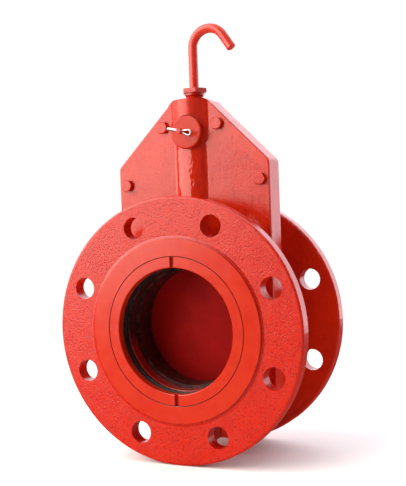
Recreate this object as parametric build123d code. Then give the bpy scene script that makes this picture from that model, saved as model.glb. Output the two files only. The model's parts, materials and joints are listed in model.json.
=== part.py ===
from build123d import *
import os
from math import acos, atan2, cos, degrees, radians, sin, sqrt, tan

# Slide gate valve with a pull hook, for a 4 inch class 125 pipeline. Lengths are in millimetres.
# Frame: the origin is the centre of the inlet flange's raised face, on the bore axis.
# +Y runs along the bore from inlet to outlet, +Z up along the pull rod, +X to the right.
# The valve is shown closed: the gate fills the bore and the rod is fully down.

# Flanges and bore, to the 4 inch class 125 drilling
FLANGE_D = 228.6
BOLT_CIRCLE_D = 190.5
FLANGE_HOLE_D = 19.0
FLANGE_HOLES = 8
RAISED_FACE_D = 157.2
RAISED_FACE_H = 1.6
FLANGE_RING_T = 12.7
FACE_TO_FACE = 114.0
PORT_D = 101.6
NECK_D = 140.0
RIM_ROUND = 1.6
NECK_FILLET = 6.0

# Flat housing between the flanges
MID_Y = FACE_TO_FACE / 2
HOUSING_T = 24.0
HOUSING_HALF_W = 73.5
SHOULDER_Z = 142.9
TOP_HALF_W = 16.4
TOP_Z = 200.0
BOTTOM_HALF_W = 50.0
BOTTOM_CORNER_Z = -66.0
BOTTOM_Z = -88.6
CORNER_R = 6.0
TOP_CORNER_R = 8.0
EDGE_ROUND = 1.2
GASKET_T = 1.0
GASKET_INSET = 0.4

# Gate, its pocket and its travel
GATE_R = 56.0
GATE_T = 6.0
GATE_TRAVEL = 107.0
POCKET_R = 57.0
POCKET_T = 9.0
POCKET_LIFT = 0.7
LUG_R = 9.5
LUG_BOTTOM_Z = 57.0
LUG_TOP_Z = 71.0
CHANNEL_R = 10.3
RIB_R = 24.6
RIB_CREST_Y = 40.5
RIB_FLANK_ANGLE = 30.0
RIB_FILLET = 2.0
HEAD_R = 17.0
HEAD_CREST_Y = 37.0
HEAD_FLANK_ANGLE = 31.0
HEAD_FILLET = 1.5
HEAD_TAPER_Z = (166.0, 174.0)

# Pull rod and hook
ROD_R = 4.25
ROD_BOTTOM_Z = 60.0
HOOK_START_Z = 246.8
HOOK_BEND_R = 15.9
HOOK_TURN = 146.0
HOOK_TAIL = 15.4
ROD_PIN_R = 1.5
ROD_PIN_Z = 66.0

# Stuffing box and packing around the rod
SLEEVE_BOTTOM_Z = 178.5
SLEEVE_R = 14.0
SLEEVE_COLLAR_R = 16.0
SLEEVE_COLLAR_Z = (184.0, 188.0)
SLEEVE_FLOOR_T = 2.2
PACKING_R = 7.5
PACKING_H = 2.8
PACKING_RINGS = 3
WASHER_T = 1.0
FOLLOWER_H = 4.2
GLAND_THREAD_R = 8.2
GLAND_NECK_BOTTOM_Z = 194.6
GLAND_COLLAR_R = 9.0
GLAND_COLLAR_H = 2.2
GLAND_HEX_Z = (206.5, 210.4)
GLAND_HEX_AF = 20.8
HEX_CORNER_CUT = 0.6
ROD_CLEARANCE_R = 4.6
RUNNING_GAP = 0.05
THREAD_GAP = 0.05
THREAD_PITCH = 1.5
THREAD_DEPTH = 0.7

# Lock boss with its spring plunger
LOCK_Z = 170.5
BOSS_R = 14.9
BOSS_FRONT_Y = 40.0
BOSS_FILLET = 3.0
CAP_R = 14.7
CAP_FRONT_Y = 36.3
CAP_SPIGOT_R = 7.9
CAP_SPIGOT_END_Y = 43.4
CAP_WALL_T = 1.7
NOSE_R = 5.0
NOSE_Y = (43.8, 47.1)
STEM_R = 2.5
STEM_OUT_Y = 22.0
RECESS_DEPTH = 2.8
SPRING_WIRE = 0.8
SPRING_R = 3.7
SPRING_TURNS = 2.5
SPLIT_PIN_Y = 25.0
SPLIT_PIN_R = 1.45
SPLIT_PIN_TILT = 13.0
SPLIT_PIN_LEGS = (-12.4, 2.8)
SPLIT_PIN_SLIT = 0.16
SPLIT_EYE_R = 2.2
SPLIT_EYE_X = 8.2
SPLIT_WIRE_R = 0.72

# Rings held in each end of the bore
RETAINER_R = (53.7, 63.3)
RETAINER_Y = (0.0, 7.7)
SPANNER_SLOT_W = 3.8
SPANNER_SLOT_DEPTH = 3.4
RETAINER_CHAMFER = 0.4
SEAL_R = (53.9, 60.0)
SEAL_Y = (7.7, 17.0)
BACKING_R = (53.5, 60.0)
BACKING_Y = (17.0, 30.0)
RING_GAP = 0.05
SEAT_R = (52.3, 55.3)
SEAT_DEPTH = 3.0
SEAT_GAP = 0.1

# Fasteners: M6 through bolts, 5 mm dowels
HOUSING_BOLTS = [(26.6, 176.8), (65.0, 126.7), (65.0, 64.0), (62.0, -64.0), (26.5, -80.0)]
BOLT_R = 3.0
BOLT_HOLE_R = 3.3
BOLT_AF = 10.0
BOLT_HEAD_H = 4.0
BOLT_LENGTH = 35.0
WASHER_R = 6.0
PLAIN_WASHER_T = 1.6
NUT_H = 5.2
DOWELS = [(65.2, 96.0), (-65.2, -34.0)]
DOWEL_R = 2.5
DOWEL_LENGTH = 14.0

# Drain at the bottom of the housing
DRAIN_BOSS_R = 13.5
DRAIN_BOSS_BOTTOM_Z = -103.0
SUMP_HALF_W = 12.0
SUMP_BOTTOM_Z = -72.0
DRAIN_BORE_R = 4.5
BUSH_TOP_Z = -84.0
BUSH_R = 9.0
BUSH_COLLAR_R = 11.0
BUSH_COLLAR_Z = (-94.0, -90.0)
PLUG_THREAD_R = 5.5
PLUG_TOP_Z = -88.0
PLUG_HEX_AF = 17.0
PLUG_HEX_H = 7.0
DRAIN_WASHER_T = 1.5
DRAIN_WASHER_R = 10.0

# Values that follow from the ones above
PLATE_FRONT_Y = MID_Y - HOUSING_T / 2
JOINT_Y = MID_Y - GASKET_T / 2
POCKET_FRONT_Y = MID_Y - POCKET_T / 2
GATE_FRONT_Y = MID_Y - GATE_T / 2
PORT_R = PORT_D / 2
RUNNING_R = ROD_R + RUNNING_GAP
FLANGE_BACK_Y = RAISED_FACE_H + FLANGE_RING_T
MIRROR_PLANE = Plane((0, MID_Y, 0), x_dir=(1, 0, 0), z_dir=(0, 1, 0))


def along_y(radius, y0, y1, x=0.0, z=0.0):
    """A round bar parallel to the bore, from y0 to y1."""
    plane = Plane((x, y0, z), x_dir=(1, 0, 0), z_dir=(0, 1, 0))
    return extrude(plane * Circle(radius), y1 - y0)


def along_z(radius, z0, z1, x=0.0, y=MID_Y):
    """An upright round bar, from z0 to z1."""
    return extrude(Plane((x, y, z0)) * Circle(radius), z1 - z0)


def hex_along_y(across_flats, y0, y1, x=0.0, z=0.0):
    """A hexagon parallel to the bore, like a bolt head or nut."""
    plane = Plane((x, y0, z), x_dir=(1, 0, 0), z_dir=(0, 1, 0))
    corner = across_flats / sqrt(3)
    return extrude(plane * RegularPolygon(corner, 6), y1 - y0)


def hex_along_z(across_flats, z0, z1):
    """An upright hexagon about the rod, two flats facing along the bore, its corners cut at both ends."""
    corner = across_flats / sqrt(3)
    prism = extrude(Plane((0, MID_Y, z0)) * RegularPolygon(corner, 6), z1 - z0)
    crown = along_z(corner, z0, z1)
    return prism & chamfer(crown.edges().filter_by(GeomType.CIRCLE), HEX_CORNER_CUT)


def bore_mouth(radius, size):
    """A cutter that chamfers the edge of a bore in the raised face."""
    plane = Plane((0, 0, 0), x_dir=(1, 0, 0), z_dir=(0, 1, 0))
    return extrude(plane * Circle(radius + size), size, taper=45)


def ring_y(r_in, r_out, y0, y1, chamfer_in=0.0):
    """A plain ring about the bore axis, with its inner edges chamfered when asked."""
    ring = along_y(r_out, y0, y1) - along_y(r_in, y0 - 1, y1 + 1)
    if chamfer_in:
        inner = ring.edges().filter_by(GeomType.CIRCLE).sort_by(lambda e: e.radius)[:2]
        ring = chamfer(inner, chamfer_in)
    return ring


def thread_z(radius, z0, z1, root_cut=THREAD_DEPTH, pitch=THREAD_PITCH):
    """A threaded neck drawn as a stack of V ridges about the rod axis."""
    count = int((z1 - z0) / pitch)
    step = (z1 - z0) / count
    points = [(0, z0), (radius - root_cut, z0)]
    for i in range(count):
        points.append((radius, z0 + step * (i + 0.5)))
        points.append((radius - root_cut, z0 + step * (i + 1)))
    points.append((0, z1))
    plane = Plane((0, MID_Y, 0), x_dir=(1, 0, 0), z_dir=(0, -1, 0))
    face = plane * make_face(Polyline(*points, close=True))
    return revolve(face, Axis((0, MID_Y, 0), (0, 0, 1)), 360)


def mirrored(shape):
    """The outlet-side twin of an inlet-side piece."""
    return mirror(shape, about=MIRROR_PLANE)


def both_sides(points):
    """Each point on the right, with its twin on the left."""
    return [(side * x, z) for x, z in points for side in (1, -1)]


# Housing halves

def housing_outline(inset=0.0):
    """The housing's outline in the XZ plane: a gable above, clipped corners below, all rounded."""
    half = [
        (TOP_HALF_W, TOP_Z),
        (HOUSING_HALF_W, SHOULDER_Z),
        (HOUSING_HALF_W, BOTTOM_CORNER_Z),
        (BOTTOM_HALF_W, BOTTOM_Z),
    ]
    points = half + [(-x, z) for x, z in reversed(half)]
    face = make_face(Polyline(*points, close=True))
    face = fillet([v for v in face.vertices() if v.Y > TOP_Z - 1], TOP_CORNER_R)
    face = fillet([v for v in face.vertices() if v.Y < SHOULDER_Z + 1], CORNER_R)
    if inset:
        face = offset(face, -inset)
    return face


def xz_prism(face, y0, y1):
    """A face drawn in x and z, made solid from y0 to y1."""
    plane = Plane((0, y1, 0), x_dir=(1, 0, 0), z_dir=(0, -1, 0))
    return extrude(plane * face, y1 - y0)


def flange_and_neck():
    """The round flange with its raised face, and the neck down to the housing plate."""
    raised = RAISED_FACE_D / 2
    rim = FLANGE_D / 2
    neck = NECK_D / 2
    flange = along_y(rim, RAISED_FACE_H, FLANGE_BACK_Y)
    flange = fillet(flange.edges().filter_by(GeomType.CIRCLE), RIM_ROUND)
    face = along_y(raised, 0, RAISED_FACE_H + 1)
    face = chamfer(face.edges().filter_by(GeomType.CIRCLE).sort_by(Axis.Y)[0], 0.6)
    body = flange + face + along_y(neck, FLANGE_BACK_Y - 1, PLATE_FRONT_Y + 1)
    root = flare(neck, FLANGE_BACK_Y, 1, NECK_FILLET)
    foot = flare(neck, PLATE_FRONT_Y, -1, NECK_FILLET) & plate_prism(20)
    return body + root + foot


def flare(radius, y, direction, r):
    """The concave fillet between a round part and a flat face at y, opening towards that face."""
    arc = CenterArc((radius + r, y + direction * r), r, 180, 90 * direction)
    inner = (radius - 2, y + direction * r)
    foot = (radius - 2, y - direction * 0.5)
    toe = (radius + r, y - direction * 0.5)
    lines = Polyline((radius, y + direction * r), inner, foot, toe, (radius + r, y))
    return revolve(make_face(lines + arc), Axis.Y, 360)


def plate_prism(extra):
    """The housing's outline as a solid that reaches past its front face."""
    return xz_prism(housing_outline(), PLATE_FRONT_Y - extra, JOINT_Y)


def front_plate():
    """Half of the flat housing, with its outer edge rounded."""
    plate = plate_prism(0)
    outer = plate.faces().sort_by(Axis.Y)[0].edges()
    return fillet(outer, EDGE_ROUND)


def front_half_of(shape):
    """The part of a shape on the inlet side of the joint."""
    block = Pos(0, JOINT_Y - 100, 50) * Box(400, 200, 500)
    return shape & block


def rib_section(radius, crest_y, flank_angle, blend):
    """Half of the rib's outline: a round crest, straight flanks and a blend into the housing's face."""
    angle = radians(flank_angle)
    side_x = radius * sin(angle)
    side_y = crest_y + radius * (1 - cos(angle))
    foot_x = side_x + (PLATE_FRONT_Y - side_y) / tan(angle)
    edge_x = foot_x + 2 * blend
    outline = [
        ThreePointArc((-side_x, side_y), (0, crest_y), (side_x, side_y)),
        Line((side_x, side_y), (foot_x, PLATE_FRONT_Y)),
        Line((foot_x, PLATE_FRONT_Y), (edge_x, PLATE_FRONT_Y)),
        Line((edge_x, PLATE_FRONT_Y), (edge_x, MID_Y)),
        Line((edge_x, MID_Y), (-edge_x, MID_Y)),
        Line((-edge_x, MID_Y), (-edge_x, PLATE_FRONT_Y)),
        Line((-edge_x, PLATE_FRONT_Y), (-foot_x, PLATE_FRONT_Y)),
        Line((-foot_x, PLATE_FRONT_Y), (-side_x, side_y)),
    ]
    section = make_face(outline)
    feet = [v for v in section.vertices() if abs(abs(v.X) - foot_x) < 0.01]
    return fillet(feet, blend)


def rib():
    """The rib that houses the lug's channel, with a wider head around the stuffing box."""
    slim = rib_section(RIB_R, RIB_CREST_Y, RIB_FLANK_ANGLE, RIB_FILLET)
    wide = rib_section(HEAD_R, HEAD_CREST_Y, HEAD_FLANK_ANGLE, HEAD_FILLET)
    z0 = NECK_D / 2 - 12
    z1, z2 = HEAD_TAPER_Z
    lower = extrude(Pos(0, 0, z0) * slim, z1 - z0)
    taper = loft([Pos(0, 0, z1) * slim, Pos(0, 0, z2) * wide], ruled=True)
    head = extrude(Pos(0, 0, z2) * wide, TOP_Z - z2)
    return front_half_of(lower + taper + head) & plate_prism(20)


def lock_boss():
    """The round boss for the lock, blended into the housing's face."""
    boss = along_y(BOSS_R, BOSS_FRONT_Y, MID_Y - CHANNEL_R, 0, LOCK_Z)
    blend = Pos(0, 0, LOCK_Z) * flare(BOSS_R, PLATE_FRONT_Y, -1, BOSS_FILLET)
    return boss + (blend & plate_prism(20))


def gate_pocket():
    """The space that the gate slides in: two round ends joined by straight sides."""
    low = Pos(0, POCKET_LIFT) * Circle(POCKET_R)
    high = Pos(0, POCKET_LIFT + GATE_TRAVEL) * Circle(POCKET_R)
    middle = Pos(0, POCKET_LIFT + GATE_TRAVEL / 2) * Rectangle(2 * POCKET_R, GATE_TRAVEL)
    return low + high + middle


def pocket_solid():
    """Gate pocket, sump and drain passage, across the whole thickness."""
    y0 = POCKET_FRONT_Y
    y1 = FACE_TO_FACE - POCKET_FRONT_Y
    sump_height = -SUMP_BOTTOM_Z - 40
    sump_face = Pos(0, SUMP_BOTTOM_Z + sump_height / 2) * RectangleRounded(2 * SUMP_HALF_W, sump_height, 4)
    return xz_prism(gate_pocket(), y0, y1) + xz_prism(sump_face, y0, y1)


def centre_bores():
    """Everything bored on the rod's axis: lug channel, stuffing box seat, drain passage and bush seat."""
    gap = RING_GAP
    channel = along_z(CHANNEL_R, 40, SLEEVE_BOTTOM_Z)
    sleeve = along_z(SLEEVE_R + gap, SLEEVE_BOTTOM_Z, TOP_Z + 5)
    collar = along_z(SLEEVE_COLLAR_R + gap, *SLEEVE_COLLAR_Z)
    drain = along_z(DRAIN_BORE_R, BUSH_TOP_Z - 1, SUMP_BOTTOM_Z + 1)
    bush = along_z(BUSH_R + gap, DRAIN_BOSS_BOTTOM_Z - 1, BUSH_TOP_Z)
    bush_collar = along_z(BUSH_COLLAR_R + gap, *BUSH_COLLAR_Z)
    return channel + sleeve + collar + drain + bush + bush_collar


def bore_stack_cuts():
    """The stepped bore of one flange: retaining ring, seal and backing ring seats, port and seat groove."""
    port = along_y(PORT_R, -1, MID_Y)
    thread = along_y(RETAINER_R[1] + RING_GAP, -1, RETAINER_Y[1])
    stack = along_y(SEAL_R[1] + RING_GAP, RETAINER_Y[1] - 1, BACKING_Y[1])
    groove = ring_y(SEAT_R[0], SEAT_R[1], POCKET_FRONT_Y - SEAT_DEPTH, POCKET_FRONT_Y + 1)
    edge = bore_mouth(RETAINER_R[1] + RING_GAP, RETAINER_CHAMFER)
    return [port, thread, stack, groove, edge]


def flange_hole_centres():
    """Bolt holes straddle the vertical centre line."""
    step = 360 / FLANGE_HOLES
    radius = BOLT_CIRCLE_D / 2
    angles = [radians(step * (i + 0.5)) for i in range(FLANGE_HOLES)]
    return [(radius * cos(a), radius * sin(a)) for a in angles]


def hole_cuts():
    """Flange bolt holes, housing bolt holes and dowel holes of one half."""
    radius = FLANGE_HOLE_D / 2
    flange = [along_y(radius, -1, FLANGE_BACK_Y + 1, x, z) for x, z in flange_hole_centres()]
    bolts = [along_y(BOLT_HOLE_R, PLATE_FRONT_Y - 1, MID_Y, x, z) for x, z in both_sides(HOUSING_BOLTS)]
    reach = DOWEL_LENGTH / 2 + 0.5
    dowels = [along_y(DOWEL_R + 0.02, MID_Y - reach, MID_Y, x, z) for x, z in DOWELS]
    return flange + bolts + dowels


def casting(with_lock_boss):
    """One bolted half of the valve body, drawn on the inlet side."""
    body = flange_and_neck() + front_plate() + rib()
    drain_boss = along_z(DRAIN_BOSS_R, DRAIN_BOSS_BOTTOM_Z, BOTTOM_Z + 20)
    drain_boss = chamfer(drain_boss.edges().sort_by(Axis.Z)[0], 1.0)
    body = body + front_half_of(drain_boss)
    if with_lock_boss:
        body = body + lock_boss()
    for cut in [pocket_solid(), centre_bores()] + bore_stack_cuts() + hole_cuts():
        body = body - cut
    if with_lock_boss:
        for cut in lock_cuts():
            body = body - cut
    return body


def lock_cuts():
    """Spot face, threaded bore and guide bore for the lock."""
    spot_face = along_y(CAP_R + 0.4, CAP_FRONT_Y - 5, BOSS_FRONT_Y, 0, LOCK_Z)
    thread = along_y(CAP_SPIGOT_R + THREAD_GAP, CAP_FRONT_Y, CAP_SPIGOT_END_Y + 0.2, 0, LOCK_Z)
    guide = along_y(NOSE_R + RUNNING_GAP, CAP_FRONT_Y, MID_Y - RECESS_DEPTH, 0, LOCK_Z)
    return [spot_face, thread, guide]


def body_front():
    return casting(True)


def body_rear():
    return mirrored(casting(False))


def body_gasket():
    """Flat gasket between the halves, open over the pocket, bores and bolt holes."""
    y0 = JOINT_Y
    y1 = JOINT_Y + GASKET_T
    sheet = xz_prism(housing_outline(GASKET_INSET), y0, y1)
    tab_height = BOTTOM_Z + 5 - DRAIN_BOSS_BOTTOM_Z
    tab = Pos(0, DRAIN_BOSS_BOTTOM_Z + tab_height / 2) * Rectangle(2 * DRAIN_BOSS_R - 1, tab_height - 2)
    sheet = sheet + xz_prism(tab, y0, y1)
    cuts = [pocket_solid(), centre_bores()]
    cuts += [along_y(BOLT_HOLE_R, y0 - 1, y1 + 1, x, z) for x, z in both_sides(HOUSING_BOLTS)]
    cuts += [along_y(DOWEL_R + 0.3, y0 - 1, y1 + 1, x, z) for x, z in DOWELS]
    for cut in cuts:
        sheet = sheet - cut
    return sheet


# Rings in the bore

def retaining_ring():
    """Threaded ring with two radial spanner slots, flush with the raised face."""
    ring = ring_y(*RETAINER_R, *RETAINER_Y, chamfer_in=0.6)
    outer = ring.edges().filter_by(GeomType.CIRCLE).sort_by(lambda e: e.radius)[-2:]
    ring = chamfer(outer.sort_by(Axis.Y)[0], RETAINER_CHAMFER)
    radius = sum(RETAINER_R) / 2
    width = RETAINER_R[1] - RETAINER_R[0] + 4
    for side in (1, -1):
        slot = Pos(0, 0, side * radius) * Box(SPANNER_SLOT_W, 2 * SPANNER_SLOT_DEPTH, width)
        ring = ring - slot
    return ring


def bore_seal():
    """Rubber ring with a shallow groove round its inner face."""
    ring = ring_y(*SEAL_R, *SEAL_Y, chamfer_in=0.8)
    middle = sum(SEAL_Y) / 2
    groove = revolve(Pos(SEAL_R[0], middle) * Circle(1.4), Axis.Y, 360)
    return ring - groove


def backing_ring():
    return ring_y(*BACKING_R, *BACKING_Y, chamfer_in=1.2)


def seat_ring():
    """Rubber seat in its groove, standing proud of the pocket wall up to the gate's face."""
    front = POCKET_FRONT_Y - SEAT_DEPTH
    back = GATE_FRONT_Y - SEAT_GAP
    inner = SEAT_R[0] + RING_GAP
    outer = SEAT_R[1] - RING_GAP
    ring = along_y(outer, front, back) - along_y(inner, front - 1, back + 1)
    lip = ring.edges().filter_by(GeomType.CIRCLE).sort_by(Axis.Y)[-2:]
    return fillet(lip, 0.6)


# Gate and pull rod

def gate():
    """Round gate with the lug that the rod screws into; the lug has the latch recess in front."""
    disc = along_y(GATE_R, GATE_FRONT_Y, GATE_FRONT_Y + GATE_T)
    disc = chamfer(disc.edges().filter_by(GeomType.CIRCLE), 0.8)
    stem_width = 2 * LUG_R - 3
    stem = Pos(0, MID_Y, (LUG_BOTTOM_Z + 46) / 2 + 1) * Box(stem_width, GATE_T, LUG_BOTTOM_Z - 44)
    lug = along_z(LUG_R, LUG_BOTTOM_Z, LUG_TOP_Z)
    lug = chamfer(lug.edges().filter_by(GeomType.CIRCLE), 1.0)
    front = MID_Y - LUG_R
    recess = along_y(NOSE_R + 0.3, front - 1, front + RECESS_DEPTH, 0, LOCK_Z - GATE_TRAVEL)
    pin_hole = Pos(0, MID_Y, ROD_PIN_Z) * Rot(0, 90, 0) * Cylinder(ROD_PIN_R, 2 * LUG_R + 4)
    rod_hole = along_z(ROD_R, ROD_BOTTOM_Z, LUG_TOP_Z + 1)
    return disc + stem + lug - recess - pin_hole - rod_hole


def rod_path():
    """The rod's centre line: straight up, round the hook, and straight down its tail."""
    top = (0, HOOK_START_Z)
    straight = Line((0, ROD_BOTTOM_Z), top)
    bend = CenterArc((HOOK_BEND_R, HOOK_START_Z), HOOK_BEND_R, 180, -HOOK_TURN)
    turn = radians(HOOK_TURN)
    end = bend @ 1
    tail = Line(end, (end.X + HOOK_TAIL * sin(turn), end.Y + HOOK_TAIL * cos(turn)))
    plane = Plane((0, MID_Y, 0), x_dir=(1, 0, 0), z_dir=(0, -1, 0))
    return plane * (straight + bend + tail)


def pull_rod():
    """Round rod bent to an open hook, with its tip chamfered and a cross hole at its foot."""
    rod = sweep(Plane((0, MID_Y, ROD_BOTTOM_Z)) * Circle(ROD_R), path=rod_path())
    tip = rod.faces().filter_by(GeomType.PLANE).sort_by(Axis.X)[-1]
    rod = chamfer(tip.edges(), 0.7)
    return rod - Pos(0, MID_Y, ROD_PIN_Z) * Rot(0, 90, 0) * Cylinder(ROD_PIN_R, 20)


def rod_pin():
    """Spring pin through the lug and the rod, with its slit."""
    length = 2 * LUG_R - 1.5
    pin = Cylinder(ROD_PIN_R, length) - Cylinder(ROD_PIN_R - 0.6, length + 1)
    pin = pin - Pos(ROD_PIN_R, 0, 0) * Box(2, 0.6, length + 1)
    return Pos(0, MID_Y, ROD_PIN_Z) * Rot(0, 90, 0) * pin


# Stuffing box

def stuffing_box():
    """Turned sleeve trapped between the halves by its collar; it holds the packing and the gland nut."""
    body = along_z(SLEEVE_R, SLEEVE_BOTTOM_Z, TOP_Z) + along_z(SLEEVE_COLLAR_R, *SLEEVE_COLLAR_Z)
    floor = SLEEVE_BOTTOM_Z + SLEEVE_FLOOR_T
    chamber = along_z(PACKING_R, floor, TOP_Z + 1)
    thread = along_z(GLAND_THREAD_R + THREAD_GAP, GLAND_NECK_BOTTOM_Z - 0.8, TOP_Z + 1)
    return body - along_z(ROD_CLEARANCE_R, SLEEVE_BOTTOM_Z - 1, floor + 1) - chamber - thread


def packing_washer():
    floor = SLEEVE_BOTTOM_Z + SLEEVE_FLOOR_T
    return along_z(PACKING_R - 0.1, floor, floor + WASHER_T) - along_z(ROD_CLEARANCE_R, floor - 1, floor + 3)


def packing_ring(index):
    """One square ring of packing that grips the rod."""
    z0 = SLEEVE_BOTTOM_Z + SLEEVE_FLOOR_T + WASHER_T + index * PACKING_H
    ring = along_z(PACKING_R - 0.02, z0, z0 + PACKING_H - 0.05)
    return ring - along_z(RUNNING_R, z0 - 1, z0 + PACKING_H + 1)


def packing_rings():
    return Compound(children=[packing_ring(i) for i in range(PACKING_RINGS)])


def gland_follower():
    """Turned bush that the gland nut presses on the packing."""
    z0 = SLEEVE_BOTTOM_Z + SLEEVE_FLOOR_T + WASHER_T + PACKING_RINGS * PACKING_H
    bush = along_z(PACKING_R - 0.05, z0, z0 + FOLLOWER_H)
    return bush - along_z(RUNNING_R, z0 - 1, z0 + FOLLOWER_H + 1)


def gland_nut():
    """Hex nut with a threaded neck that screws down into the stuffing box."""
    bottom, top = GLAND_HEX_Z
    head = hex_along_z(GLAND_HEX_AF, bottom, top)
    collar = along_z(GLAND_COLLAR_R, bottom - GLAND_COLLAR_H, bottom + 1)
    neck = thread_z(GLAND_THREAD_R, GLAND_NECK_BOTTOM_Z, bottom - GLAND_COLLAR_H)
    bore = along_z(ROD_CLEARANCE_R, GLAND_NECK_BOTTOM_Z - 1, top + 1)
    return head + collar + neck - bore


# Lock

def lock_cap():
    """Turned cap screwed into the boss; it guides the plunger's stem and backs its spring."""
    disc = along_y(CAP_R, CAP_FRONT_Y, BOSS_FRONT_Y, 0, LOCK_Z)
    disc = fillet(disc.edges().filter_by(GeomType.CIRCLE).sort_by(Axis.Y)[0], 1.4)
    spigot = along_y(CAP_SPIGOT_R, BOSS_FRONT_Y - 1, CAP_SPIGOT_END_Y, 0, LOCK_Z)
    chamber = along_y(NOSE_R + 0.06, CAP_FRONT_Y + CAP_WALL_T, CAP_SPIGOT_END_Y + 1, 0, LOCK_Z)
    stem_hole = along_y(STEM_R + 0.06, CAP_FRONT_Y - 1, CAP_FRONT_Y + CAP_WALL_T + 1, 0, LOCK_Z)
    return disc + spigot - chamber - stem_hole


def split_pin_place():
    """Where the split pin crosses the stem, with its legs to the left and tilted up."""
    return Pos(0, SPLIT_PIN_Y, LOCK_Z) * Rot(0, SPLIT_PIN_TILT, 0)


def lock_plunger():
    """Spring plunger: a wide nose behind, and a stem out through the cap with a cross hole."""
    nose = along_y(NOSE_R, *NOSE_Y, 0, LOCK_Z)
    nose = chamfer(nose.edges().filter_by(GeomType.CIRCLE).sort_by(Axis.Y)[-1], 0.8)
    stem = along_y(STEM_R, STEM_OUT_Y, NOSE_Y[0] + 1, 0, LOCK_Z)
    stem = chamfer(stem.edges().filter_by(GeomType.CIRCLE).sort_by(Axis.Y)[0], 0.5)
    hole = split_pin_place() * Rot(0, 90, 0) * Cylinder(SPLIT_PIN_R + 0.05, 4 * STEM_R)
    return nose + stem - hole


def lock_spring():
    """Compression spring between the cap and the plunger's nose."""
    y0 = CAP_FRONT_Y + CAP_WALL_T + SPRING_WIRE / 2
    y1 = NOSE_Y[0] - SPRING_WIRE / 2
    height = y1 - y0
    helix = Helix(pitch=height / SPRING_TURNS, height=height, radius=SPRING_R)
    section = Plane(origin=helix @ 0, z_dir=helix % 0) * Circle(SPRING_WIRE / 2 - 0.02)
    coil = sweep(section, path=helix)
    return Pos(0, y0, LOCK_Z) * Rot(-90, 0, 0) * coil


def split_pin():
    """Split pin: two half-round legs side by side, joined by a long eye."""
    leg_end, leg_start = SPLIT_PIN_LEGS
    length = leg_start - leg_end
    shank = Pos((leg_start + leg_end) / 2, 0, 0) * Rot(0, 90, 0) * Cylinder(SPLIT_PIN_R, length)
    tip = shank.faces().sort_by(Axis.X)[0]
    shank = chamfer(tip.edges(), 0.5)
    shank = shank - Pos(leg_end + length / 2 - 1, 0, 0) * Box(length, 4, SPLIT_PIN_SLIT)
    root = (leg_start - 0.8, SPLIT_PIN_R / 2)
    reach = sqrt((SPLIT_EYE_X - root[0]) ** 2 + root[1] ** 2)
    lean = degrees(acos(SPLIT_EYE_R / reach) + atan2(root[1], SPLIT_EYE_X - root[0]))
    start = 180 - lean
    bow = CenterArc((SPLIT_EYE_X, 0), SPLIT_EYE_R, start, -2 * start)
    plane = Plane((0, 0, 0), x_dir=(1, 0, 0), z_dir=(0, -1, 0))
    wire = Line(root, bow @ 0) + bow + Line(bow @ 1, (root[0], -root[1]))
    section = plane * Plane(origin=(*root, 0), z_dir=(bow @ 0) - Vector(*root)) * Circle(SPLIT_WIRE_R)
    eye = sweep(section, path=plane * wire)
    return split_pin_place() * (shank + eye)


# Fasteners

def housing_bolt(x, z):
    """One hex bolt, head on the inlet side."""
    y0 = PLATE_FRONT_Y - BOLT_HEAD_H
    head = hex_along_y(BOLT_AF, y0, PLATE_FRONT_Y, x, z)
    crown = along_y(BOLT_AF / 2 + 0.5, y0, PLATE_FRONT_Y, x, z)
    crown = chamfer(crown.edges().filter_by(GeomType.CIRCLE).sort_by(Axis.Y)[0], 0.8)
    shank = along_y(BOLT_R, PLATE_FRONT_Y - 1, PLATE_FRONT_Y + BOLT_LENGTH, x, z)
    shank = chamfer(shank.edges().filter_by(GeomType.CIRCLE).sort_by(Axis.Y)[-1], 0.6)
    return (head & crown) + shank


def housing_bolts():
    return Compound(children=[housing_bolt(x, z) for x, z in both_sides(HOUSING_BOLTS)])


def housing_washer(x, z):
    y0 = PLATE_FRONT_Y + HOUSING_T
    return along_y(WASHER_R, y0, y0 + PLAIN_WASHER_T, x, z) - along_y(BOLT_R, y0 - 1, y0 + 3, x, z)


def housing_washers():
    return Compound(children=[housing_washer(x, z) for x, z in both_sides(HOUSING_BOLTS)])


def housing_nut(x, z):
    y0 = PLATE_FRONT_Y + HOUSING_T + PLAIN_WASHER_T
    nut = hex_along_y(BOLT_AF, y0, y0 + NUT_H, x, z)
    crown = along_y(BOLT_AF / 2 + 0.6, y0, y0 + NUT_H, x, z)
    crown = chamfer(crown.edges().filter_by(GeomType.CIRCLE), 0.7)
    return (nut & crown) - along_y(BOLT_R, y0 - 1, y0 + NUT_H + 1, x, z)


def housing_nuts():
    return Compound(children=[housing_nut(x, z) for x, z in both_sides(HOUSING_BOLTS)])


def dowel_pin(x, z):
    pin = along_y(DOWEL_R, MID_Y - DOWEL_LENGTH / 2, MID_Y + DOWEL_LENGTH / 2, x, z)
    return chamfer(pin.edges().filter_by(GeomType.CIRCLE), 0.5)


def dowel_pins():
    return Compound(children=[dowel_pin(x, z) for x, z in DOWELS])


# Drain

def drain_bush():
    """Turned bush trapped between the halves, threaded inside for the plug."""
    body = along_z(BUSH_R, DRAIN_BOSS_BOTTOM_Z, BUSH_TOP_Z) + along_z(BUSH_COLLAR_R, *BUSH_COLLAR_Z)
    bore = along_z(PLUG_THREAD_R + THREAD_GAP, DRAIN_BOSS_BOTTOM_Z - 1, PLUG_TOP_Z + 1)
    return body - bore - along_z(DRAIN_BORE_R, PLUG_TOP_Z, BUSH_TOP_Z + 1)


def drain_washer():
    z1 = DRAIN_BOSS_BOTTOM_Z
    z0 = z1 - DRAIN_WASHER_T
    return along_z(DRAIN_WASHER_R, z0, z1) - along_z(PLUG_THREAD_R + 0.2, z0 - 1, z1 + 1)


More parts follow.
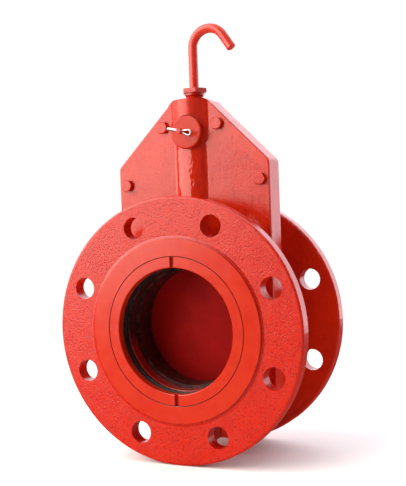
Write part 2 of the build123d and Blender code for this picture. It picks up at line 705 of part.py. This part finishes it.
def drain_plug():
    """Hex-headed plug, screwed up into the drain bush."""
    top = DRAIN_BOSS_BOTTOM_Z - DRAIN_WASHER_T
    head = hex_along_z(PLUG_HEX_AF, top - PLUG_HEX_H, top)
    thread = thread_z(PLUG_THREAD_R, top - 0.5, PLUG_TOP_Z, 0.6, 1.25)
    return head + thread


PIECES = {
    "body_front": body_front,
    "body_rear": body_rear,
    "body_gasket": body_gasket,
    "housing_bolts": housing_bolts,
    "housing_washers": housing_washers,
    "housing_nuts": housing_nuts,
    "dowel_pins": dowel_pins,
    "retaining_ring_front": retaining_ring,
    "retaining_ring_rear": lambda: mirrored(retaining_ring()),
    "bore_seal_front": bore_seal,
    "bore_seal_rear": lambda: mirrored(bore_seal()),
    "backing_ring_front": backing_ring,
    "backing_ring_rear": lambda: mirrored(backing_ring()),
    "seat_ring_front": seat_ring,
    "seat_ring_rear": lambda: mirrored(seat_ring()),
    "gate": gate,
    "pull_rod": pull_rod,
    "rod_pin": rod_pin,
    "stuffing_box": stuffing_box,
    "packing_washer": packing_washer,
    "packing_rings": packing_rings,
    "gland_follower": gland_follower,
    "gland_nut": gland_nut,
    "lock_cap": lock_cap,
    "lock_plunger": lock_plunger,
    "lock_spring": lock_spring,
    "split_pin": split_pin,
    "drain_bush": drain_bush,
    "drain_washer": drain_washer,
    "drain_plug": drain_plug,
}

os.makedirs("parts", exist_ok=True)
for name, make in PIECES.items():
    export_step(make(), f"parts/{name}.step")
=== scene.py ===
import json
from math import cos, pi, radians, sin

import bmesh
import bpy
from mathutils import Matrix, Vector


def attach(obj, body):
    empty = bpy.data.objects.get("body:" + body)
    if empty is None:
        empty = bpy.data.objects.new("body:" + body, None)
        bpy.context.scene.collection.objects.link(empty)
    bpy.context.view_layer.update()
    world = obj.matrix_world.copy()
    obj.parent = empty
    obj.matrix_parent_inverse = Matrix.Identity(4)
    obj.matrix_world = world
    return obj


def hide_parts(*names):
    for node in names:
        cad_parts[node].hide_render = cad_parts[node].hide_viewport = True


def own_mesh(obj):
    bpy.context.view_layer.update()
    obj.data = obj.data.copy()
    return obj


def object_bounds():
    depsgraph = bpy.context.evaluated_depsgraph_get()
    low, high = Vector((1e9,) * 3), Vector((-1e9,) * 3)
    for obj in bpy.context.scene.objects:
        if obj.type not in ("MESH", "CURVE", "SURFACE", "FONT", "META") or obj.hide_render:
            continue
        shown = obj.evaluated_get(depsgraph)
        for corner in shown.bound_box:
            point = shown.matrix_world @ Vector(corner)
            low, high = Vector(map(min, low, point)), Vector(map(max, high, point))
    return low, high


# A red slide gate valve with a pull hook, on a pale studio floor. Metres, in the valve's own frame:
# the origin is at the centre of the inlet flange's raised face, +Y runs along the bore, +Z is up.

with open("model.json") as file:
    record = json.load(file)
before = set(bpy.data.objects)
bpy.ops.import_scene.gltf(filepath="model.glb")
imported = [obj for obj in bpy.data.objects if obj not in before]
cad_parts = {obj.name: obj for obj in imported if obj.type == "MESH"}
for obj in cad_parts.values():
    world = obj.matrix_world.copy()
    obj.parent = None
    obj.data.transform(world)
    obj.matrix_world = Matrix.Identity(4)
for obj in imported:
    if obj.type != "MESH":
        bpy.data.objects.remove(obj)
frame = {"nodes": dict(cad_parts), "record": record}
cad_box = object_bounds()

MM = 0.001

# Camera
CAMERA_AT = (0.3398, -0.6544, 0.0920)
CAMERA_AZIMUTH = 25.33
CAMERA_ELEVATION = 1.42
CAMERA_ROLL = -2.10
CAMERA_LENS = 64.98
SENSOR = 36.0


def camera_axes(azimuth, elevation, roll):
    """The camera's right, up and backward directions, for a view towards the object."""
    a, e, r = radians(azimuth), radians(elevation), radians(roll)
    back = Vector((sin(a) * cos(e), -cos(a) * cos(e), sin(e)))
    right = Vector((0, 0, 1)).cross(back).normalized()
    up = back.cross(right)
    return right * cos(r) + up * sin(r), up * cos(r) - right * sin(r), back


def make_camera():
    data = bpy.data.cameras.new("camera")
    data.lens = CAMERA_LENS
    data.sensor_width = SENSOR
    data.clip_start = 0.01
    camera = bpy.data.objects.new("camera", data)
    right, up, back = camera_axes(CAMERA_AZIMUTH, CAMERA_ELEVATION, CAMERA_ROLL)
    turn = Matrix((right, up, back)).transposed()
    camera.matrix_world = Matrix.Translation(CAMERA_AT) @ turn.to_4x4()
    bpy.context.scene.collection.objects.link(camera)
    bpy.context.scene.camera = camera


# Node helpers

class Shader:
    """A material's node tree with short calls for the nodes that the materials below use."""

    def __init__(self, name):
        self.material = bpy.data.materials.new(name)
        self.material.use_nodes = True
        self.tree = self.material.node_tree
        self.bsdf = self.tree.nodes["Principled BSDF"]
        self.point = self.node("ShaderNodeTexCoord").outputs["Object"]

    def node(self, kind, **settings):
        made = self.tree.nodes.new(kind)
        for key, value in settings.items():
            setattr(made, key, value)
        return made

    def put(self, socket, value):
        if isinstance(value, bpy.types.NodeSocket):
            self.tree.links.new(value, socket)
        else:
            socket.default_value = value

    def math(self, operation, a, b=0.0, c=0.0, clamp=False):
        made = self.node("ShaderNodeMath", operation=operation, use_clamp=clamp)
        for socket, value in zip(made.inputs, (a, b, c)):
            self.put(socket, value)
        return made.outputs[0]

    def stretch(self, x, y, z):
        made = self.node("ShaderNodeMapping")
        self.put(made.inputs["Vector"], self.point)
        self.put(made.inputs["Scale"], (x, y, z))
        return made.outputs[0]

    def noise(self, size, detail=3.0, rough=0.55, at=None, distortion=0.0):
        """Noise whose features are about size metres across."""
        made = self.node("ShaderNodeTexNoise")
        self.put(made.inputs["Vector"], at or self.point)
        self.put(made.inputs["Scale"], 1 / size)
        self.put(made.inputs["Detail"], detail)
        self.put(made.inputs["Roughness"], rough)
        self.put(made.inputs["Distortion"], distortion)
        return made.outputs[0]

    def cells(self, size, at=None, feature="SMOOTH_F1"):
        """Distance to the nearest of scattered points about size metres apart."""
        made = self.node("ShaderNodeTexVoronoi", feature=feature)
        self.put(made.inputs["Vector"], at or self.point)
        self.put(made.inputs["Scale"], 1 / size)
        return made.outputs["Distance"]

    def ramp(self, value, low, high, to_low=0.0, to_high=1.0):
        """value from low..high onto to_low..to_high, held at the ends."""
        made = self.node("ShaderNodeMapRange", interpolation_type="SMOOTHSTEP")
        for socket, number in zip(made.inputs, (value, low, high, to_low, to_high)):
            self.put(socket, number)
        return made.outputs[0]

    def mix(self, share, first, second):
        made = self.node("ShaderNodeMix", data_type="RGBA")
        self.put(made.inputs[0], share)
        self.put(made.inputs[6], first)
        self.put(made.inputs[7], second)
        return made.outputs[2]

    def split(self):
        made = self.node("ShaderNodeSeparateXYZ")
        self.put(made.inputs[0], self.point)
        return made.outputs

    def bore_radius(self):
        """Distance from the bore axis."""
        x, y, z = self.split()
        return self.math("SQRT", self.math("ADD", self.math("MULTIPLY", x, x), self.math("MULTIPLY", z, z)))

    def bump(self, height, depth, strength=1.0):
        """Bump from a 0..1 height whose full range is depth metres."""
        made = self.node("ShaderNodeBump")
        self.put(made.inputs["Strength"], strength)
        self.put(made.inputs["Distance"], depth)
        self.put(made.inputs["Height"], height)
        self.put(self.bsdf.inputs["Normal"], made.outputs[0])
        return made

    def set(self, **values):
        names = {
            "color": "Base Color",
            "roughness": "Roughness",
            "metallic": "Metallic",
            "coat": "Coat Weight",
            "coat_roughness": "Coat Roughness",
            "specular": "Specular IOR Level",
            "sheen": "Sheen Weight",
        }
        for key, value in values.items():
            self.put(self.bsdf.inputs[names[key]], value)


RED = (0.60, 0.022, 0.004, 1)
RED_TURNED = (0.54, 0.023, 0.004, 1)
# A lighter copy of the enamel red, painted light for the extra light the rod catches from all round
RED_ROD_LIT = (0.72, 0.040, 0.020, 1)
RED_DEEP = (0.48, 0.010, 0.004, 1)
# Dark red for specks and streaks, and for painted shade in the flange's pits
RED_MARK_AND_PIT_SHADE = (0.30, 0.006, 0.004, 1)
RED_GATE = (0.38, 0.006, 0.005, 1)
RED_GATE_DARK = (0.24, 0.004, 0.004, 1)
BORE_DARK = (0.020, 0.005, 0.005, 1)
BORE_BROWN = (0.105, 0.014, 0.011, 1)
# Painted shade for the thin joint round the retaining ring
GROOVE_SHADE = (0.030, 0.010, 0.009, 1)
HOUSING_HALF_W = 73.5 * MM
GABLE_SUM = 216.4 * MM
SIN_45 = sin(radians(45))


def near(s, value, centre, half, soft):
    """1 where value lies within half of centre, fading to 0 over soft."""
    away = s.math("ABSOLUTE", s.math("SUBTRACT", value, centre))
    return s.ramp(away, half, half + soft, 1.0, 0.0)


def red_casting():
    """Glossy enamel over a cast skin: pitted flange rings with painted shade in their pits, smooth turned faces and
    rib, dark rough bore, and painted shade in the joint round the retaining ring.
    """
    s = Shader("red_casting")
    x, y, z = s.split()
    radius = s.bore_radius()
    from_mid = s.math("ABSOLUTE", s.math("SUBTRACT", y, 57 * MM))
    beyond_flange = s.ramp(from_mid, 41.5 * MM, 43.0 * MM)
    at_face = s.ramp(from_mid, 55.35 * MM, 55.5 * MM)
    turned = s.math("MULTIPLY", at_face, s.ramp(radius, 78.3 * MM, 79.0 * MM, 1.0, 0.0))
    ring = s.math("SUBTRACT", s.ramp(from_mid, 43.5 * MM, 45.5 * MM), turned, clamp=True)
    in_bore = s.math("MULTIPLY", s.ramp(radius, 54.2 * MM, 54.8 * MM, 1.0, 0.0), s.ramp(from_mid, 48 * MM, 49 * MM, 1.0, 0.0))
    on_rib = s.math("MULTIPLY", near(s, x, 0.0, 14.5 * MM, 1.5 * MM), s.ramp(z, 60 * MM, 75 * MM))
    on_rib = s.math("MULTIPLY", on_rib, s.math("SUBTRACT", 1.0, beyond_flange))
    across = s.math("ABSOLUTE", x)
    gable = s.math("MULTIPLY", s.math("SUBTRACT", s.math("ADD", across, z), GABLE_SUM), SIN_45)
    side = s.math("MAXIMUM", s.math("SUBTRACT", across, HOUSING_HALF_W), gable)
    plate_edge = s.math("MULTIPLY", s.ramp(side, -0.7 * MM, -0.2 * MM), s.ramp(from_mid, 12.2 * MM, 13.2 * MM, 1.0, 0.0))
    rim = s.math("MULTIPLY", s.ramp(radius, 112.2 * MM, 113.2 * MM), beyond_flange)
    smooth = s.math("MAXIMUM", plate_edge, s.math("MULTIPLY", rim, 0.7))

    fine = s.noise(1.0 * MM, 2, 0.5)
    coarse = s.noise(1.9 * MM, 2, 0.5)
    waves = s.noise(13 * MM, 1, 0.4)
    streaks = s.noise(3.2 * MM, 3, 0.5, at=s.stretch(1.0, 1.0, 0.25))
    pits = s.ramp(s.cells(1.7 * MM), 0.08, 0.46)
    rough_share = s.math("ADD", s.math("MULTIPLY", ring, 0.38), 0.62, clamp=True)
    rough_share = s.math("MULTIPLY", rough_share, s.math("SUBTRACT", 1.0, turned))
    rough_share = s.math("MULTIPLY", rough_share, s.ramp(on_rib, 0.0, 1.0, 1.0, 0.2))
    skin = s.math("ADD", s.math("MULTIPLY", fine, 0.5), s.math("MULTIPLY", coarse, 0.20))
    skin = s.math("ADD", skin, s.math("MULTIPLY", pits, 0.30))
    height = s.math("MULTIPLY", s.math("SUBTRACT", skin, s.math("MULTIPLY", pits, 0.18)), rough_share)
    drips = s.noise(8 * MM, 2, 0.5, at=s.stretch(1.0, 1.0, 0.6))
    drip_share = s.math("MULTIPLY", on_rib, s.ramp(z, 150 * MM, 170 * MM, 2.3, 0.3))
    height = s.math("ADD", height, s.math("MULTIPLY", drips, drip_share))
    wave_share = s.ramp(turned, 0.0, 1.0, 0.44, 0.12)
    height = s.math("ADD", height, s.math("MULTIPLY", waves, wave_share))
    height = s.math("ADD", height, s.math("MULTIPLY", streaks, 0.20))
    height = s.math("MULTIPLY", height, s.math("SUBTRACT", 1.0, s.math("MULTIPLY", smooth, 0.85)))
    shoulder = s.math("MULTIPLY", s.ramp(radius, 78.6 * MM, 81.2 * MM, 1.0, 0.0), s.ramp(from_mid, 54.5 * MM, 55.0 * MM))
    height = s.math("ADD", height, s.math("MULTIPLY", shoulder, 2.4))
    s.bump(height, 0.43 * MM)

    patches = s.ramp(s.noise(22 * MM, 4, 0.55), 0.38, 0.66)
    color = s.mix(s.math("MULTIPLY", patches, 0.45), s.mix(turned, RED, RED_TURNED), RED_DEEP)
    # Painted shade in the pits: darker red where the cast skin's relief is low
    pit_shade = s.math("MULTIPLY", s.ramp(skin, 0.40, 0.54, 1.0, 0.0), rough_share)
    pit_shade = s.math("MULTIPLY", pit_shade, s.ramp(ring, 0.0, 1.0, 0.55, 1.0))
    pit_shade = s.math("MULTIPLY", pit_shade, s.math("SUBTRACT", 1.0, smooth))
    # Painted shade: the whole flange ring a little darker, standing in for the shade in its many pits
    color = s.mix(s.math("MULTIPLY", ring, 0.45), color, RED_DEEP)
    color = s.mix(s.math("MULTIPLY", pit_shade, 0.85), color, RED_MARK_AND_PIT_SHADE)
    runs = s.math("MULTIPLY", s.ramp(streaks, 0.34, 0.44, 1.0, 0.0), s.math("SUBTRACT", 1.0, beyond_flange))
    runs = s.math("MULTIPLY", runs, s.ramp(x, -20 * MM, 30 * MM, 0.12, 0.5))
    color = s.mix(runs, color, RED_MARK_AND_PIT_SHADE)
    mottle = s.ramp(s.noise(4 * MM, 4, 0.65), 0.42, 0.62)
    color = s.mix(in_bore, color, s.mix(mottle, BORE_DARK, BORE_BROWN))
    # Painted shade in the joint round the retaining ring
    groove = s.math("MULTIPLY", near(s, radius, 63.35 * MM, 0.22 * MM, 0.2 * MM), s.ramp(from_mid, 56.0 * MM, 56.3 * MM))
    color = s.mix(groove, color, GROOVE_SHADE)

    gloss = s.ramp(s.noise(9 * MM, 3, 0.5), 0.35, 0.7, 0.07, 0.13)
    gloss = s.math("ADD", gloss, s.math("MULTIPLY", ring, 0.10))
    gloss = s.math("ADD", gloss, s.math("MULTIPLY", turned, 0.11))
    on_head = s.math("MULTIPLY", on_rib, s.ramp(z, 160 * MM, 185 * MM))
    gloss = s.math("ADD", gloss, s.math("MULTIPLY", on_head, 0.26))
    gloss = s.math("ADD", gloss, s.math("MULTIPLY", plate_edge, 0.14))
    gloss = s.math("SUBTRACT", gloss, s.math("MULTIPLY", on_rib, 0.04))
    gloss = s.math("ADD", gloss, s.math("MULTIPLY", in_bore, 0.35))
    s.set(color=color, roughness=gloss)
    return s.material


def red_machined(name, specular):
    """Smooth enamel over turned rings, with faint turning marks, painted shade in the joint round the ring, and
    painted shade deep in the bore that is darkest at the top.
    """
    s = Shader(name)
    x, y, z = s.split()
    radius = s.bore_radius()
    from_mid = s.math("ABSOLUTE", s.math("SUBTRACT", y, 57 * MM))
    marks = s.math("SINE", s.math("MULTIPLY", radius, 2 * pi / (0.9 * MM)))
    marks = s.math("MULTIPLY", marks, s.noise(8 * MM, 2))
    height = s.math("ADD", s.math("MULTIPLY", marks, 0.02), s.noise(9 * MM, 2, 0.5))
    s.bump(height, 0.10 * MM)
    patches = s.ramp(s.noise(16 * MM, 4, 0.55), 0.4, 0.66)
    color = s.mix(s.math("MULTIPLY", patches, 0.4), RED_TURNED, RED_DEEP)
    # Painted shade in the joint round the ring
    groove = s.math("MULTIPLY", near(s, radius, 63.35 * MM, 0.22 * MM, 0.2 * MM), s.ramp(from_mid, 56.0 * MM, 56.3 * MM))
    color = s.mix(groove, color, GROOVE_SHADE)
    # Painted shade on turned parts deep in the bore, near its axis
    bore_shade = s.math("MULTIPLY", s.ramp(from_mid, 49.0 * MM, 50.0 * MM, 1.0, 0.0), s.ramp(radius, 70 * MM, 80 * MM, 1.0, 0.0))
    color = s.mix(s.math("MULTIPLY", bore_shade, 0.7), color, RED_GATE_DARK)
    # Painted shadow over the upper part of those parts, mottled dark brown; it also makes them rougher
    bore_top_shadow = s.math("MULTIPLY", bore_shade, s.ramp(z, -22 * MM, -2 * MM))
    shadow_mottle = s.ramp(s.noise(4 * MM, 4, 0.65), 0.42, 0.62)
    color = s.mix(bore_top_shadow, color, s.mix(shadow_mottle, BORE_DARK, BORE_BROWN))
    gloss = s.ramp(s.noise(6 * MM, 3), 0.35, 0.7, 0.18, 0.26)
    s.set(color=color, roughness=s.math("ADD", gloss, s.math("MULTIPLY", bore_top_shadow, 0.3)), specular=specular)
    return s.material


def red_gate():
    """Thin dark red paint on the gate, duller and blotched, with painted shade darkening it towards its edge."""
    s = Shader("red_gate")
    blotches = s.ramp(s.noise(18 * MM, 3, 0.5), 0.3, 0.7)
    specks = s.ramp(s.noise(3 * MM, 4, 0.6), 0.58, 0.72)
    # Painted shade towards the gate's edge, next to the bore wall
    gate_edge_shade = s.ramp(s.bore_radius(), 36 * MM, 52 * MM, 0.0, 0.6)
    color = s.mix(s.math("MULTIPLY", blotches, 0.45), RED_GATE, RED_GATE_DARK)
    color = s.mix(s.math("MULTIPLY", specks, 0.3), color, BORE_BROWN)
    color = s.mix(gate_edge_shade, color, RED_GATE_DARK)
    s.bump(s.noise(5 * MM, 4, 0.55), 0.25 * MM)
    s.set(color=color, roughness=s.ramp(blotches, 0.0, 1.0, 0.34, 0.46), specular=0.04)
    return s.material


def red_rod():
    """Enamel on round bar, with long runs along it; its red is a lighter copy of the castings' red, painted light for
    the extra light the rod catches.
    """
    s = Shader("red_rod")
    runs = s.noise(4 * MM, 3, 0.5, at=s.stretch(1.0, 1.0, 0.15))
    color = s.mix(s.ramp(runs, 0.4, 0.7, 0.0, 0.25), RED_ROD_LIT, RED)
    height = s.math("ADD", s.math("MULTIPLY", runs, 0.7), s.math("MULTIPLY", s.noise(6 * MM, 2), 0.3))
    s.bump(height, 0.03 * MM)
    s.set(color=color, roughness=s.ramp(s.noise(7 * MM, 3), 0.35, 0.7, 0.20, 0.28), specular=0.6)
    return s.material


def red_fastener():
    """Thick enamel pooled over bolt heads and nuts."""
    s = Shader("red_fastener")
    pools = s.noise(5 * MM, 3, 0.5)
    height = s.math("ADD", s.math("MULTIPLY", pools, 0.8), s.math("MULTIPLY", s.noise(1.6 * MM, 3), 0.25))
    s.bump(height, 0.35 * MM)
    color = s.mix(s.ramp(pools, 0.38, 0.66, 0.0, 0.6), RED, RED_DEEP)
    specks = s.ramp(s.noise(1.7 * MM, 2, 0.5), 0.32, 0.42, 1.0, 0.0)
    color = s.mix(s.math("MULTIPLY", specks, 0.8), color, RED_MARK_AND_PIT_SHADE)
    s.set(color=color, roughness=s.ramp(s.noise(3 * MM, 3), 0.35, 0.7, 0.14, 0.26))
    return s.material


def mottled(name, first, second, size, roughness, metallic=0.0, depth=0.05):
    """A finish with two close colours, uneven gloss and a fine surface."""
    s = Shader(name)
    share = s.ramp(s.noise(size, 4, 0.6), 0.35, 0.68)
    low, high = roughness
    s.set(color=s.mix(share, first, second), roughness=s.ramp(s.noise(size * 0.6, 3), 0.3, 0.7, low, high))
    s.set(metallic=metallic)
    s.bump(s.noise(size * 0.25, 4, 0.6), depth * MM)
    return s.material


def turned_metal(name, first, second, roughness, along):
    """Bare turned metal with fine rings across the given axis (0, 1 or 2)."""
    s = Shader(name)
    where = s.split()[along]
    wander = s.math("MULTIPLY", s.noise(3 * MM, 2), 0.5 * MM)
    rings = s.math("SINE", s.math("MULTIPLY", s.math("ADD", where, wander), 2 * pi / (0.35 * MM)))
    low, high = roughness
    share = s.ramp(s.noise(5 * MM, 4, 0.6), 0.35, 0.68)
    s.set(color=s.mix(share, first, second), roughness=s.ramp(rings, -1.0, 1.0, low, high), metallic=1.0)
    s.bump(rings, 0.01 * MM)
    return s.material


def painted_outside(name, first, second, axis, outside):
    """Turned metal that is painted over, with the castings, where outside(s, place) is 1."""
    s = Shader(name)
    place = s.split()
    paint = outside(s, place)
    inside = s.math("SUBTRACT", 1.0, paint)
    rings = s.math("SINE", s.math("MULTIPLY", place[axis], 2 * pi / (0.35 * MM)))
    metal = s.mix(s.ramp(s.noise(4 * MM, 3), 0.35, 0.68), first, second)
    enamel = s.mix(s.ramp(s.noise(4 * MM, 3), 0.4, 0.66), RED, RED_DEEP)
    s.set(color=s.mix(paint, metal, enamel), metallic=inside)
    s.set(roughness=s.ramp(s.noise(3 * MM, 3), 0.35, 0.7, 0.2, 0.34))
    s.bump(s.math("ADD", s.math("MULTIPLY", rings, 0.1), s.noise(1.6 * MM, 3)), 0.08 * MM)
    return s.material


def lock_outside(s, place):
    """The plunger's end, in front of the cap."""
    return s.ramp(place[1], 34.5 * MM, 36.0 * MM, 1.0, 0.0)


def ends_outside(s, place):
    """The top of the stuffing box and the foot of the drain bush."""
    top = s.ramp(place[2], 198.6 * MM, 199.2 * MM)
    foot = s.ramp(place[2], -102.6 * MM, -102.0 * MM, 1.0, 0.0)
    return s.math("ADD", top, foot, clamp=True)


def braided(name):
    """Plaited graphite yarn: two crossing sets of diagonal waves round the rod."""
    s = Shader(name)
    x, y, z = s.split()
    turn = s.math("MULTIPLY", s.math("ARCTAN2", x, s.math("SUBTRACT", y, 57 * MM)), 14.0)
    rise = s.math("MULTIPLY", z, 2 * pi / (2.8 * MM))
    one = s.math("SINE", s.math("ADD", turn, rise))
    other = s.math("SINE", s.math("SUBTRACT", turn, rise))
    weave = s.math("MULTIPLY", one, other)
    s.set(color=s.mix(s.ramp(weave, -1, 1), (0.012, 0.012, 0.013, 1), (0.07, 0.07, 0.075, 1)), roughness=0.5)
    s.bump(weave, 0.15 * MM)
    return s.material


# Stage

def area_light(name, at, towards, size, radiance, tint=(1, 1, 1), shape="RECTANGLE"):
    """A soft panel of the given radiance and tint, not seen by the camera itself."""
    width, height = size
    data = bpy.data.lights.new(name, "AREA")
    data.shape = shape
    data.size, data.size_y = width, height
    area = width * height * (pi / 4 if shape == "ELLIPSE" else 1)
    data.energy = radiance * pi * area
    data.color = tint
    lamp = bpy.data.objects.new(name, data)
    direction = Vector(towards) - Vector(at)
    lamp.matrix_world = Matrix.Translation(at) @ direction.to_track_quat("-Z", "Y").to_matrix().to_4x4()
    lamp.visible_camera = False
    bpy.context.scene.collection.objects.link(lamp)


def from_object(azimuth, elevation, distance):
    """A point seen from the valve's middle; azimuth 0 is towards -Y and 90 towards +X."""
    a, e = radians(azimuth), radians(elevation)
    return STAGE_CENTRE + distance * Vector((sin(a) * cos(e), -cos(a) * cos(e), sin(e)))


def make_world():
    """White behind the valve, and a dim studio everywhere else."""
    world = bpy.data.worlds.new("studio")
    world.use_nodes = True
    tree = world.node_tree
    seen = tree.nodes["Background"]
    seen.inputs["Color"].default_value = (1, 1, 1, 1)
    seen.inputs["Strength"].default_value = 1.05
    room = tree.nodes.new("ShaderNodeBackground")
    room.inputs["Color"].default_value = (1, 1, 1, 1)
    room.inputs["Strength"].default_value = ROOM_LIGHT
    path = tree.nodes.new("ShaderNodeLightPath")
    mix = tree.nodes.new("ShaderNodeMixShader")
    tree.links.new(path.outputs["Is Camera Ray"], mix.inputs[0])
    tree.links.new(room.outputs[0], mix.inputs[1])
    tree.links.new(seen.outputs[0], mix.inputs[2])
    tree.links.new(mix.outputs[0], tree.nodes["World Output"].inputs[0])
    bpy.context.scene.world = world


def make_floor():
    """A pale floor that fades into the white background, so it has no horizon."""
    low = cad_box[0][2]
    turns = [2 * pi * i / FLOOR_CORNERS for i in range(FLOOR_CORNERS)]
    corners = [(FLOOR_RADIUS * cos(t), FLOOR_RADIUS * sin(t), low) for t in turns]
    mesh = bpy.data.meshes.new("floor")
    mesh.from_pydata(corners, [], [tuple(range(FLOOR_CORNERS))])
    floor = bpy.data.objects.new("floor", mesh)
    floor.visible_glossy = False
    bpy.context.scene.collection.objects.link(floor)
    s = Shader("floor_white")
    x, y, z = s.split()
    away = s.math("SQRT", s.math("ADD", s.math("MULTIPLY", x, x), s.math("MULTIPLY", y, y)))
    s.put(s.bsdf.inputs["Alpha"], s.ramp(away, FLOOR_FADE, FLOOR_RADIUS, 1.0, 0.0))
    s.put(s.bsdf.inputs["Base Color"], (0.95, 0.95, 0.95, 1))
    s.put(s.bsdf.inputs["Roughness"], 0.9)
    floor.data.materials.append(s.material)


STAGE_CENTRE = Vector((0, 57 * MM, 50 * MM))
ROOM_LIGHT = 0.095
FLOOR_RADIUS = 0.9
FLOOR_FADE = 0.25
FLOOR_CORNERS = 96
WARM = (1.0, 0.95, 0.87)
COOL = (0.98, 0.90, 0.98)

make_camera()
make_world()
make_floor()
area_light("octabox", from_object(-49, 29, 2.0), STAGE_CENTRE, (3.05, 3.05), 4.5, WARM, "ELLIPSE")
area_light("white_wall", (0.5, 3.0, 1.2), (0.5, 0, 0.4), (7.0, 3.4), 1.9, COOL)
area_light("white_side", (2.4, 1.4, 0.9), (0, 0.2, 0.3), (3.0, 2.6), 1.05, COOL)
area_light("white_left", (-2.4, 1.6, 0.9), (0, 0.2, 0.3), (2.6, 2.4), 1.0, COOL)
area_light("ceiling", (0.0, 0.6, 2.4), (0, 0.1, 0), (3.0, 3.0), 1.6)
bpy.context.scene.view_settings.view_transform = "Standard"

FINISH = {
    "red_casting": red_casting(),
    "red_machined": red_machined("red_machined", 0.5),
    "red_gate": red_gate(),
    "red_rod": red_rod(),
    "red_fastener": red_fastener(),
    "black_rubber": mottled("black_rubber", (0.010, 0.010, 0.011, 1), (0.022, 0.021, 0.021, 1), 4 * MM, (0.4, 0.6)),
    "gasket_fibre": mottled("gasket_fibre", RED, RED_DEEP, 6 * MM, (0.21, 0.27), 0.0, 0.02),
    "bright_steel": turned_metal("bright_steel", (0.60, 0.60, 0.61, 1), (0.48, 0.48, 0.50, 1), (0.18, 0.34), 1),
    "spring_steel": mottled("spring_steel", (0.40, 0.40, 0.42, 1), (0.28, 0.28, 0.30, 1), 2 * MM, (0.25, 0.4), 1.0, 0.01),
    "zinc_steel": mottled("zinc_steel", (0.74, 0.72, 0.73, 1), (0.56, 0.53, 0.54, 1), 2 * MM, (0.26, 0.4), 1.0, 0.02),
    "brass": painted_outside("brass", (0.66, 0.47, 0.20, 1), (0.52, 0.35, 0.14, 1), 2, ends_outside),
    "copper": mottled("copper", (0.66, 0.29, 0.16, 1), (0.46, 0.19, 0.11, 1), 3 * MM, (0.3, 0.5), 1.0, 0.02),
    "graphite_packing": braided("graphite_packing"),
}
OWN_FINISH = {
    "lock_cap": red_machined("red_cap", 0.25),
    "lock_plunger": painted_outside("plunger_steel", (0.60, 0.60, 0.61, 1), (0.48, 0.48, 0.50, 1), 1, lock_outside),
}
for part in frame["record"]["subparts"]:
    node = frame["nodes"][part["node"]]
    node.data.materials.clear()
    node.data.materials.append(OWN_FINISH.get(part["node"]) or FINISH[part["material_slot"]])


def painted_gasket():
    """The gasket, with paint filling the joint between the halves almost flush round the outside."""
    mesh = frame["nodes"]["body_gasket"].data.copy()
    work = bmesh.new()
    work.from_mesh(mesh)
    bmesh.ops.remove_doubles(work, verts=work.verts, dist=0.001 * MM)
    work.normal_update()
    corners = [vert.co.copy() for vert in work.verts]
    moves = {}
    for face in work.faces:
        normal = face.normal.copy()
        reach = max(normal.dot(corner) for corner in corners)
        if abs(normal.y) < 0.5 and normal.dot(face.calc_center_median()) > reach - 0.02 * MM:
            for vert in face.verts:
                moves.setdefault(vert, []).append(normal)
    for vert, normals in moves.items():
        out = sum(normals, Vector()).normalized()
        vert.co += out * PAINT_FILL / max(out.dot(normal) for normal in normals)
    work.to_mesh(mesh)
    work.free()
    filled = bpy.data.objects.new("gasket_painted_over", mesh)
    bpy.context.scene.collection.objects.link(filled)
    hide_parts("body_gasket")
    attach(filled, "valve_body")


def squeezed_spring():
    """The lock spring, copied onto the valve body in place of the part."""
    node = frame["nodes"]["lock_spring"]
    coil = bpy.data.objects.new("lock_spring_coil", node.data.copy())
    bpy.context.scene.collection.objects.link(coil)
    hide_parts("lock_spring")
    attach(coil, "valve_body")
    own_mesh(coil)


PAINT_FILL = 0.41 * MM
painted_gasket()
squeezed_spring()
